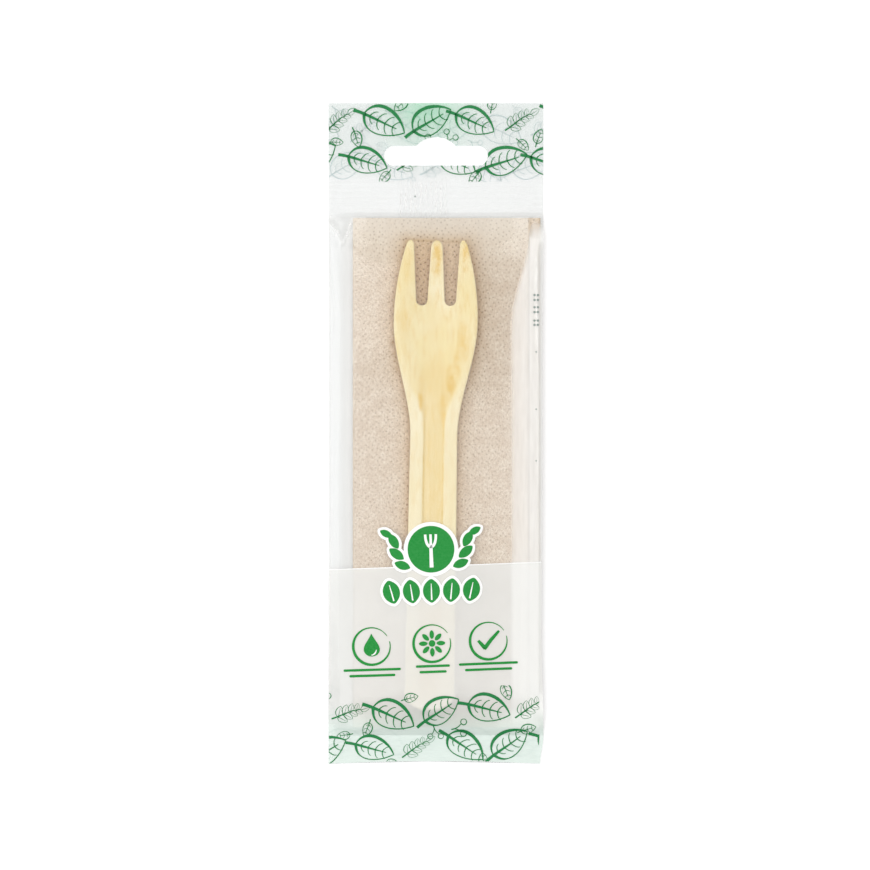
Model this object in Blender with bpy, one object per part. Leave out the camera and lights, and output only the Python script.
"""A wooden fork and a folded paper napkin, sealed in a flow-wrapped film pouch with a hang slot.

The pack lies on its back, with the header towards +Y and the front of the pouch up.
Three pieces: one pressed veneer fork, one folded tissue sheet and one folded and sealed film.
Metres throughout. The origin is under the middle of the pack, on the surface that it lies on.
"""

import math

import bmesh
import bpy
from mathutils import Matrix, Vector

# Clearance between pieces that rest on each other, and in front of what the film covers
SEAT = 0.0003

# Film, a single sheet whose two edges meet in the fin seal on the back
FILM = 0.00005
FIN_WIDTH = 0.0165
FIN_FOLD_X = 0.004
FIN_LIFT = 0.0001

# Pouch, from its top edge down to its bottom edge
HEADER_LENGTH = 0.0261
TOP_SEAL_LENGTH = 0.010
BOTTOM_SEAL_LENGTH = 0.0094
CRIMP_PITCH = 0.00185
CRIMP_DEPTH = 0.0001
END_BOW = 0.0003
LEFT_MARGIN = 0.0080
RIGHT_MARGIN = 0.0010
SIDE_DRAW_IN = 0.0007
DRAW_IN_REACH = 0.034
BOTTOM_NARROWING = 0.0011
SIDE_WALL = 0.0003
TOP_ROOM = 0.0018
BOTTOM_ROOM = 0.0027
FILM_ROW = 0.005
VENT_DIAMETER = 0.002
VENT_INSET = 0.016

# Hang slot, a straight slot with round ends and a hump in the middle of its upper side
SLOT_LENGTH = 0.0343
SLOT_HEIGHT = 0.0064
SLOT_DROP = 0.0174
HUMP_WIDTH = 0.0132
HUMP_HEIGHT = 0.0030

# Napkin, folded once across and then zig-zag into panels
NAPKIN_LENGTH = 0.168
PANEL_WIDTH = 0.0619
TOP_PANEL_SETBACK = 0.004
PANELS = 5
TISSUE = 0.0002
TISSUE_GAP = 0.00008
FOLD_STEPS = 6

# Fork, die-cut from veneer and pressed
FORK_LENGTH = 0.155
FORK_THICKNESS = 0.0018
FORK_TILT = math.radians(-0.97)
FORK_SHIFT = 0.0047
FORK_DROP = 0.0075
HANDLE_WIDTH = 0.0168
NECK_WIDTH = 0.0155
HEAD_WIDTH = 0.0277
TIP_SPREAD = 0.0192
HEAD_FROM_TIP = 0.0263
NECK_FROM_TIP = 0.0653
HANDLE_END_ROUND = 0.006
TINE_SLOT_DEPTH = 0.0215
TINE_SLOT_MOUTH = 0.0058
TINE_SLOT_ROOT = 0.0035
TINE_SLOT_OFFSET = 0.0047
TINE_TIP_ROUND = 0.0016
TINE_TIP_FLAT = 0.3
CHANNEL_FLOOR = 0.004
CHANNEL_BRIM = 0.0082
CHANNEL_DEPTH = 0.0005
BOWL_DEPTH = 0.0016
NECK_RISE = 0.0008
TIP_RISE = 0.0026
TINE_FLATTENING = 0.001
CURVE_PAST_TIP = 0.005
EDGE_ROUND = 0.0003
HANDLE_ROW = 0.006
HEAD_ROW = 0.003
TINE_ROW = 0.0025
COLUMN_SHARE = 0.6
MERGE = 0.000001

# Heights of the stack, from the surface up
FIN_THICKNESS = 2 * FILM
BACK_Z = FIN_THICKNESS + FIN_LIFT
NAPKIN_Z = BACK_Z + FILM + SEAT
PANEL_THICKNESS = 2 * TISSUE + TISSUE_GAP
PANEL_PITCH = PANEL_THICKNESS + TISSUE_GAP
NAPKIN_TOP_Z = NAPKIN_Z + (PANELS - 1) * PANEL_PITCH + PANEL_THICKNESS
LOWER_FOLD_TOP_Z = NAPKIN_TOP_Z - PANEL_PITCH
FORK_Z = NAPKIN_TOP_Z + SEAT + FORK_THICKNESS / 2 + CHANNEL_DEPTH

# Places in plan. Y runs from the bottom edge to the top edge of the pouch.
FORK_BELOW_NAPKIN_TOP = FORK_DROP + FORK_LENGTH
CONTENTS_LENGTH = max(NAPKIN_LENGTH, FORK_BELOW_NAPKIN_TOP)
CHAMBER_LENGTH = TOP_ROOM + CONTENTS_LENGTH + BOTTOM_ROOM
POUCH_LENGTH = HEADER_LENGTH + TOP_SEAL_LENGTH + CHAMBER_LENGTH + BOTTOM_SEAL_LENGTH
POUCH_WIDTH = LEFT_MARGIN + PANEL_WIDTH + RIGHT_MARGIN
TOP_Y = POUCH_LENGTH / 2
HEADER_END_Y = TOP_Y - HEADER_LENGTH
CHAMBER_TOP_Y = HEADER_END_Y - TOP_SEAL_LENGTH
CHAMBER_BOTTOM_Y = CHAMBER_TOP_Y - CHAMBER_LENGTH
BOTTOM_Y = -TOP_Y
NAPKIN_TOP_Y = CHAMBER_TOP_Y - TOP_ROOM
NAPKIN_BOTTOM_Y = NAPKIN_TOP_Y - NAPKIN_LENGTH
LEFT_X = -POUCH_WIDTH / 2
RIGHT_X = POUCH_WIDTH / 2
NAPKIN_LEFT_X = LEFT_X + LEFT_MARGIN
NAPKIN_RIGHT_X = NAPKIN_LEFT_X + PANEL_WIDTH
TOP_PANEL_RIGHT_X = NAPKIN_RIGHT_X - TOP_PANEL_SETBACK
FORK_TIP_Y = NAPKIN_TOP_Y - FORK_DROP
FORK_MIDDLE_Y = FORK_TIP_Y - FORK_LENGTH / 2
FORK_MIDDLE_X = (NAPKIN_LEFT_X + NAPKIN_RIGHT_X) / 2 - FORK_SHIFT


def clear_scene():
    for old in list(bpy.data.objects):
        bpy.data.objects.remove(old, do_unlink=True)


def smooth(low, high, value):
    """0 below low, 1 above high, and an even S-curve between them."""
    t = min(max((value - low) / (high - low), 0.0), 1.0)
    return t * t * (3.0 - 2.0 * t)


def steps(start, end, spacing):
    """Values from start to end, evenly spaced at about the given spacing."""
    count = max(1, round(abs(end - start) / spacing))
    return [start + (end - start) * i / count for i in range(count + 1)]


def upper_hull(points):
    """The points of a taut line that is stretched over the given (place, height) points."""
    hull = []
    for point in sorted(points):
        while len(hull) > 1:
            (x0, z0), (x1, z1) = hull[-2], hull[-1]
            if (z1 - z0) * (point[0] - x0) > (point[1] - z0) * (x1 - x0):
                break
            hull.pop()
        hull.append(point)
    return hull


def height_on(hull, place):
    """The height of a taut line at a place, held level past its ends."""
    if place <= hull[0][0]:
        return hull[0][1]
    for (x0, z0), (x1, z1) in zip(hull, hull[1:]):
        if place <= x1:
            return z0 + (z1 - z0) * (place - x0) / (x1 - x0)
    return hull[-1][1]


def material(name, colour, roughness, alpha=1.0):
    made = bpy.data.materials.new(name)
    made.use_nodes = True
    shader = made.node_tree.nodes["Principled BSDF"]
    shader.inputs["Base Color"].default_value = (*colour, 1.0)
    shader.inputs["Roughness"].default_value = roughness
    shader.inputs["Metallic"].default_value = 0.0
    shader.inputs["Alpha"].default_value = alpha
    return made


def add_object(name, mesh_data, finish=None):
    piece = bpy.data.objects.new(name, mesh_data)
    bpy.context.scene.collection.objects.link(piece)
    if finish:
        mesh_data.materials.append(finish)
    return piece


def mesh_from(name, shape):
    """Turns a bmesh into mesh data with its faces pointing out, and frees it."""
    bmesh.ops.recalc_face_normals(shape, faces=shape.faces)
    data = bpy.data.meshes.new(name)
    shape.to_mesh(data)
    shape.free()
    return data


def loft(name, sections):
    """A closed solid through sections, which are equally long loops of points."""
    shape = bmesh.new()
    loops = [[shape.verts.new(point) for point in section] for section in sections]
    for first, second in zip(loops, loops[1:]):
        for i in range(len(first)):
            j = (i + 1) % len(first)
            shape.faces.new((first[i], first[j], second[j]))
            shape.faces.new((first[i], second[j], second[i]))
    shape.faces.new(loops[0])
    shape.faces.new(reversed(loops[-1]))
    return mesh_from(name, shape)


def prism(name, outline, low, high):
    """A plan outline, extruded from one height to another."""
    levels = [[Vector((x, y, z)) for x, y in outline] for z in (low, high)]
    return loft(name, levels)


def cut(piece, name, tool_mesh):
    """Takes a hidden cutter's volume out of a piece."""
    tool = add_object(name, tool_mesh)
    tool.hide_render = True
    tool.display_type = "WIRE"
    boolean = piece.modifiers.new(name, "BOOLEAN")
    boolean.operation = "DIFFERENCE"
    boolean.solver = "EXACT"
    boolean.object = tool


def fork_half_width(along):
    """Half the width of the fork's outline, at a distance from the end of its handle."""
    neck = FORK_LENGTH - NECK_FROM_TIP
    head = FORK_LENGTH - HEAD_FROM_TIP
    if along > head:
        taper = (along - head) / HEAD_FROM_TIP
        return HEAD_WIDTH / 2 - (HEAD_WIDTH - TIP_SPREAD) / 2 * taper**2
    half = HANDLE_WIDTH / 2 + (NECK_WIDTH - HANDLE_WIDTH) / 2 * min(along / neck, 1.0)
    half += (HEAD_WIDTH - NECK_WIDTH) / 2 * smooth(neck, head, along)
    if along < HANDLE_END_ROUND:
        half *= math.sqrt(1.0 - (1.0 - along / HANDLE_END_ROUND) ** 2)
    return half


def fork_rim(along):
    """How far the fork's rim rises above the flanks of its handle."""
    neck = FORK_LENGTH - NECK_FROM_TIP
    head = FORK_LENGTH - HEAD_FROM_TIP
    past_tip = FORK_LENGTH + CURVE_PAST_TIP
    arch = NECK_RISE * smooth(neck - HANDLE_WIDTH, neck + HANDLE_WIDTH / 2, along)
    bowl = (BOWL_DEPTH - CHANNEL_DEPTH - NECK_RISE) * smooth(neck, head, along)
    tines = (TIP_RISE + CHANNEL_DEPTH - BOWL_DEPTH) * smooth(head - NECK_WIDTH, past_tip, along)
    return arch + bowl + tines


def fork_height(across, along):
    """Height of the fork's middle surface: a channel in the handle that opens into the bowl."""
    neck = FORK_LENGTH - NECK_FROM_TIP
    head = FORK_LENGTH - HEAD_FROM_TIP
    into_bowl = smooth(neck, head, along)
    to_tips = smooth(head, FORK_LENGTH, along)
    depth = CHANNEL_DEPTH * smooth(0.0, HANDLE_WIDTH, along)
    depth += (BOWL_DEPTH - CHANNEL_DEPTH) * into_bowl - TINE_FLATTENING * to_tips
    floor = CHANNEL_FLOOR / 2 * (1.0 - into_bowl)
    brim = CHANNEL_BRIM / 2 + (fork_half_width(along) - CHANNEL_BRIM / 2) * into_bowl
    dip = depth * (1.0 - smooth(floor, brim, abs(across)))
    return fork_rim(along) - dip


def tine_slot(along):
    """The two edges of a tine slot, measured from the fork's centre line."""
    root = FORK_LENGTH - TINE_SLOT_DEPTH
    if along <= root:
        split = min(TINE_SLOT_OFFSET, fork_half_width(along) * COLUMN_SHARE)
        return split, split
    open_share = (along - root) / TINE_SLOT_DEPTH
    half = (TINE_SLOT_ROOT + (TINE_SLOT_MOUTH - TINE_SLOT_ROOT) * open_share) / 2
    round_end = TINE_SLOT_ROOT / 2
    if along - root < round_end:
        half *= math.sqrt(1.0 - (1.0 - (along - root) / round_end) ** 2)
    return TINE_SLOT_OFFSET - half, TINE_SLOT_OFFSET + half


def round_tip(low, high, along):
    """Draws the two edges of a tine together over its rounded tip."""
    past = max(0.0, along - (FORK_LENGTH - TINE_TIP_ROUND)) / TINE_TIP_ROUND
    middle, half = (low + high) / 2, (high - low) / 2
    half *= math.sqrt(1.0 - (1.0 - TINE_TIP_FLAT**2) * past**2)
    return middle - half, middle + half


def round_shares(count):
    """Shares of a quarter round's reach, closer together where it turns fastest."""
    return [1.0 - math.cos(math.pi / 2 * (i + 0.5) / count) for i in range(count)]


def fork_stations():
    """Distances along the fork, closer together at its round ends and slot roots."""
    neck = FORK_LENGTH - NECK_FROM_TIP
    root = FORK_LENGTH - TINE_SLOT_DEPTH
    root_end = root + TINE_SLOT_ROOT / 2
    tip_start = FORK_LENGTH - TINE_TIP_ROUND
    stations = [HANDLE_END_ROUND * share for share in round_shares(4)]
    stations += steps(HANDLE_END_ROUND, neck, HANDLE_ROW)
    stations += steps(neck, root, HEAD_ROW)[1:]
    stations += [root + (root_end - root) * share for share in round_shares(3)]
    stations += steps(root_end, tip_start, TINE_ROW)
    stations += [FORK_LENGTH - TINE_TIP_ROUND * share for share in round_shares(3)[::-1]]
    return stations + [FORK_LENGTH]


def fork_columns(along):
    """Places across the fork: five on each tine, so that two slots lie between them."""
    inner, outer = tine_slot(along)
    edge = fork_half_width(along)
    outer_tine = round_tip(outer, edge, along)
    middle_tine = round_tip(-inner, inner, along)
    left_tine = (-outer_tine[1], -outer_tine[0])
    tines = [left_tine, middle_tine, outer_tine]
    return [low + (high - low) * i / 4 for low, high in tines for i in range(5)]


def fork():
    """A sheet with open tine slots, pressed to shape, thickened and eased at its edges."""
    shape = bmesh.new()
    stations = fork_stations()
    rows = []
    for along in stations:
        row = [(x, along - FORK_LENGTH / 2, fork_height(x, along)) for x in fork_columns(along)]
        rows.append([shape.verts.new(point) for point in row])
    root = FORK_LENGTH - TINE_SLOT_DEPTH
    for along, first, second in zip(stations, rows, rows[1:]):
        for i in range(len(first) - 1):
            if i in (4, 9) and along >= root - MERGE:
                continue
            shape.faces.new((first[i], first[i + 1], second[i + 1], second[i]))
    bmesh.ops.remove_doubles(shape, verts=shape.verts, dist=MERGE)
    data = mesh_from("fork", shape)
    data.transform(Matrix.Rotation(FORK_TILT, 4, "Z"))
    piece = add_object("fork", data, material("birch_veneer", (0.87, 0.74, 0.46), 0.6))
    piece.location = (FORK_MIDDLE_X, FORK_MIDDLE_Y, FORK_Z)
    wall = piece.modifiers.new("veneer", "SOLIDIFY")
    wall.thickness = FORK_THICKNESS
    wall.offset = 0.0
    ease = piece.modifiers.new("eased_edges", "BEVEL")
    ease.width = EDGE_ROUND
    ease.segments = 1
    ease.limit_method = "ANGLE"
    ease.angle_limit = math.radians(50)
    data.shade_smooth()


def napkin_route():
    """The middle line of the folded strip in section, as (place, direction) pairs from below."""
    turn = PANEL_PITCH / 2
    left, right = NAPKIN_LEFT_X + turn + PANEL_THICKNESS / 2, NAPKIN_RIGHT_X - turn - PANEL_THICKNESS / 2
    route = []
    for panel in range(PANELS):
        z = NAPKIN_Z + PANEL_THICKNESS / 2 + panel * PANEL_PITCH
        rightwards = panel % 2 == 0
        start, end = (left, right) if rightwards else (right, left)
        if panel == 0:
            start = NAPKIN_LEFT_X
        if panel == PANELS - 1:
            end = TOP_PANEL_RIGHT_X
        heading = 0.0 if rightwards else math.pi
        route += [(Vector((start, 0.0, z)), heading), (Vector((end, 0.0, z)), heading)]
        if panel == PANELS - 1:
            break
        for i in range(1, FOLD_STEPS):
            bend = math.pi * i / FOLD_STEPS
            side = 1.0 if rightwards else -1.0
            lift = Vector((side * math.sin(bend), 0.0, 1.0 - math.cos(bend))) * turn
            direction = bend if rightwards else math.pi - bend
            route.append((Vector((end, 0.0, z)) + lift, direction))
    return route


def napkin_edge_profile():
    """The doubled tissue seen from its side: a fold at the top and two free edges below."""
    outer = PANEL_THICKNESS / 2
    inner = TISSUE_GAP / 2
    centre = NAPKIN_TOP_Y - outer
    around = [math.pi * i / FOLD_STEPS for i in range(FOLD_STEPS + 1)]
    profile = [(NAPKIN_BOTTOM_Y, outer)]
    profile += [(centre + outer * math.sin(a), outer * math.cos(a)) for a in around]
    profile += [(NAPKIN_BOTTOM_Y, -outer), (NAPKIN_BOTTOM_Y, -inner)]
    profile += [(centre + inner * math.sin(a), -inner * math.cos(a)) for a in around]
    profile += [(NAPKIN_BOTTOM_Y, inner)]
    return profile


def napkin():
    """The doubled tissue, swept along the zig-zag that its panels make."""
    profile = napkin_edge_profile()
    sections = []
    for place, heading in napkin_route():
        normal = Vector((-math.sin(heading), 0.0, math.cos(heading)))
        sections.append([place + normal * n + Vector((0.0, y, 0.0)) for y, n in profile])
    add_object("napkin", loft("napkin", sections), material("tissue", (0.75, 0.63, 0.51), 0.9))


def fork_reach(y):
    """The fork's left and right edges and the height of its rim, at a place along the pack."""
    along = min(max(y - FORK_MIDDLE_Y + FORK_LENGTH / 2, 0.0), FORK_LENGTH)
    middle = FORK_MIDDLE_X - (y - FORK_MIDDLE_Y) * math.tan(FORK_TILT)
    half = max(fork_half_width(along), TIP_SPREAD / 2 * smooth(0.0, HANDLE_END_ROUND, along))
    half = max(half, HANDLE_WIDTH / 4)
    return middle - half, middle + half, FORK_Z + fork_rim(along) + FORK_THICKNESS / 2


def carried_heights():
    """The taut line of the film along the pack, over the fork and down to the seals."""
    line = [(CHAMBER_BOTTOM_Y, BACK_Z + FILM), (CHAMBER_TOP_Y, BACK_Z + FILM)]
    line += [(NAPKIN_BOTTOM_Y - SEAT, NAPKIN_TOP_Z + SEAT), (NAPKIN_TOP_Y + SEAT, NAPKIN_TOP_Z + SEAT)]
    for y in steps(FORK_TIP_Y - FORK_LENGTH - SEAT, FORK_TIP_Y + SEAT, FILM_ROW):
        line.append((y, fork_reach(y)[2] + SEAT))
    return upper_hull(line)


def pouch_sides(y):
    """The pouch's two side folds, which the contents draw in between the seals."""
    inside = smooth(CHAMBER_BOTTOM_Y, CHAMBER_BOTTOM_Y + DRAW_IN_REACH, y)
    inside *= 1.0 - smooth(CHAMBER_TOP_Y - DRAW_IN_REACH, CHAMBER_TOP_Y, y)
    narrowed = BOTTOM_NARROWING * smooth(-CHAMBER_BOTTOM_Y, -BOTTOM_Y, -y)
    return LEFT_X + SIDE_DRAW_IN * inside, RIGHT_X - SIDE_DRAW_IN / 2 * inside - narrowed


def film_columns(y):
    """Places across the pouch, on the edges of what lies under the film and between them."""
    left, right = pouch_sides(y)
    fork_left, fork_right, _ = fork_reach(y)
    fork_middle = (fork_left + fork_right) / 2
    napkin_left = NAPKIN_LEFT_X - SEAT
    napkin_right = NAPKIN_RIGHT_X + SEAT
    columns = [left, (left + napkin_left) / 2, napkin_left, (napkin_left + fork_left) / 2]
    columns += [fork_left, (fork_left + fork_middle) / 2, fork_middle, (fork_middle + fork_right) / 2]
    columns += [fork_right, (fork_right + TOP_PANEL_RIGHT_X) / 2, TOP_PANEL_RIGHT_X + SEAT, napkin_right, right]
    return columns


def front_heights(y, columns, carried):
    """The underside of the front film across the pouch, stretched over what carries it."""
    level = BACK_Z + FILM
    top = height_on(carried, y)
    share = min(1.0, (top - level) / (NAPKIN_TOP_Z + SEAT - level))
    fork_left, fork_right, _ = fork_reach(y)
    points = [(columns[0], level + SIDE_WALL * share)]
    points += [(columns[-1], level + (LOWER_FOLD_TOP_Z - NAPKIN_Z) * share)]
    points += [(NAPKIN_LEFT_X - SEAT, level + (NAPKIN_TOP_Z + SEAT - level) * share)]
    points += [(TOP_PANEL_RIGHT_X + SEAT, level + (NAPKIN_TOP_Z + SEAT - level) * share)]
    points += [(NAPKIN_RIGHT_X + SEAT, level + (LOWER_FOLD_TOP_Z + SEAT - level) * share)]
    points += [(fork_left, top), (fork_right, top)]
    hull = upper_hull(points)
    return [height_on(hull, x) for x in columns]


def fin_section(y):
    """The fin seal in section: two film edges joined, folded over and laid under the back."""
    root = FIN_FOLD_X + FIN_THICKNESS
    edge = FIN_FOLD_X - FIN_WIDTH
    corners = [(root, BACK_Z), (root, 0.0), (edge, 0.0), (edge, FIN_THICKNESS)]
    corners += [(FIN_FOLD_X, FIN_THICKNESS), (FIN_FOLD_X, BACK_Z)]
    return [Vector((x, y, z)) for x, z in corners]


def end_bow(x, y):
    """How far the sealed ends arch up off the surface, most at the pouch's own ends."""
    left, right = pouch_sides(y)
    across = (2 * x - left - right) / (right - left)
    past_seal = smooth(CHAMBER_TOP_Y, TOP_Y, y) + smooth(-CHAMBER_BOTTOM_Y, -BOTTOM_Y, -y)
    return END_BOW * past_seal * (1.0 - across**2)


def back_points(start, end, y, lift):
    """Three points on the back film between two places, the second of them left out."""
    places = [start + (end - start) * i / 3 for i in range(3)]
    return [Vector((x, y, BACK_Z + lift + end_bow(x, y))) for x in places]


def close_section(front, fin, lift=0.0):
    """Front points from left to right, then the back from right to left, round the fin seal."""
    left, right, y = front[0].x, front[-1].x, front[0].y
    fin[0].z += lift + end_bow(fin[0].x, y)
    fin[-1].z += lift + end_bow(fin[-1].x, y)
    back_right = back_points(right, fin[0].x, y, lift)
    back_left = back_points(left, fin[-1].x, y, lift)
    return front + back_right + fin + back_left[::-1]


def sealed_section(y, lift):
    """Front and back film sealed into one, lifted by the crimp, with the fin seal below."""
    level = BACK_Z + 2 * FILM + lift
    front = [Vector((x, y, level + end_bow(x, y))) for x in film_columns(y)]
    return close_section(front, fin_section(y), lift)


def crimp_rows(start, end):
    """Rows of a crimped seal, each with its lift: crests and troughs take turns."""
    rows = steps(start, end, CRIMP_PITCH / 2)
    return [(y, CRIMP_DEPTH * (i % 2)) for i, y in enumerate(rows)]


def chamber_rows():
    """Rows of the hollow, with one at each place where the film changes its slope."""
    top, bottom = NAPKIN_TOP_Y + SEAT, NAPKIN_BOTTOM_Y - SEAT
    tip, end = FORK_TIP_Y + SEAT, FORK_TIP_Y - FORK_LENGTH - SEAT
    rows = steps(tip, end, FILM_ROW)
    if top - tip > SEAT:
        rows = steps(top, tip, FILM_ROW)[:-1] + rows
    if end - bottom > SEAT:
        rows += steps(end, bottom, FILM_ROW)[1:]
    return [CHAMBER_TOP_Y - SEAT] + rows + [CHAMBER_BOTTOM_Y + SEAT]


def pouch_outside():
    """The pouch's outer surface, from the header's top edge to the bottom edge."""
    carried = carried_heights()
    sections = [sealed_section(y, 0.0) for y in steps(TOP_Y, HEADER_END_Y, HEADER_LENGTH / 2)]
    sections += [sealed_section(y, lift) for y, lift in crimp_rows(HEADER_END_Y, CHAMBER_TOP_Y)[1:]]
    for y in chamber_rows():
        columns = film_columns(y)
        heights = front_heights(y, columns, carried)
        front = [Vector((x, y, z + FILM)) for x, z in zip(columns, heights)]
        sections.append(close_section(front, fin_section(y)))
    sections += [sealed_section(y, lift) for y, lift in crimp_rows(CHAMBER_BOTTOM_Y, BOTTOM_Y)]
    return loft("film_pouch", sections)


def pouch_hollow():
    """The hollow that holds the napkin and the fork, one film thickness inside the pouch."""
    carried = carried_heights()
    sections = []
    for y in chamber_rows():
        columns = film_columns(y)
        heights = front_heights(y, columns, carried)
        columns[0] += FILM
        columns[-1] -= FILM
        front = [Vector((x, y, z)) for x, z in zip(columns, heights)]
        back = [Vector((x, y, BACK_Z + FILM)) for x in (columns[-1], columns[0])]
        sections.append(front + back)
    return loft("hollow", sections)


def arc(centre_x, centre_y, radius, start, end, count):
    """Points on an arc, with angles in degrees."""
    turns = [math.radians(start + (end - start) * i / count) for i in range(count + 1)]
    return [(centre_x + radius * math.cos(a), centre_y + radius * math.sin(a)) for a in turns]


def hang_slot_outline():
    """Half circles at both ends, and the arc of the hump in the middle of the upper side."""
    middle_y = TOP_Y - SLOT_DROP
    end = SLOT_HEIGHT / 2
    reach = SLOT_LENGTH / 2 - end
    hump_radius = (HUMP_WIDTH**2 / 4 + HUMP_HEIGHT**2) / (2 * HUMP_HEIGHT)
    hump_y = middle_y + end + HUMP_HEIGHT - hump_radius
    spread = math.degrees(math.asin(HUMP_WIDTH / 2 / hump_radius))
    outline = arc(reach, middle_y, end, -90, 90, 10)
    outline += arc(0.0, hump_y, hump_radius, 90 - spread, 90 + spread, 12)
    outline += arc(-reach, middle_y, end, 90, 270, 10)
    return outline


def film_pouch():
    """One film: front, back, crimped end seals, fin seal, header and hang slot."""
    piece = add_object("film_pouch", pouch_outside(), material("clear_film", (0.9, 0.95, 0.93), 0.15, 0.3))
    cut(piece, "hollow", pouch_hollow())
    reach = FIN_WIDTH
    cut(piece, "hang_slot", prism("hang_slot", hang_slot_outline(), -reach, reach))
    vent_x = RIGHT_X - VENT_INSET
    vent_y = CHAMBER_BOTTOM_Y + VENT_INSET
    vent = arc(vent_x, vent_y, VENT_DIAMETER / 2, 0, 330, 11)
    cut(piece, "vent_hole", prism("vent_hole", vent, BACK_Z - SEAT, BACK_Z + FILM + SEAT / 2))


def main():
    clear_scene()
    film_pouch()
    napkin()
    fork()


main()
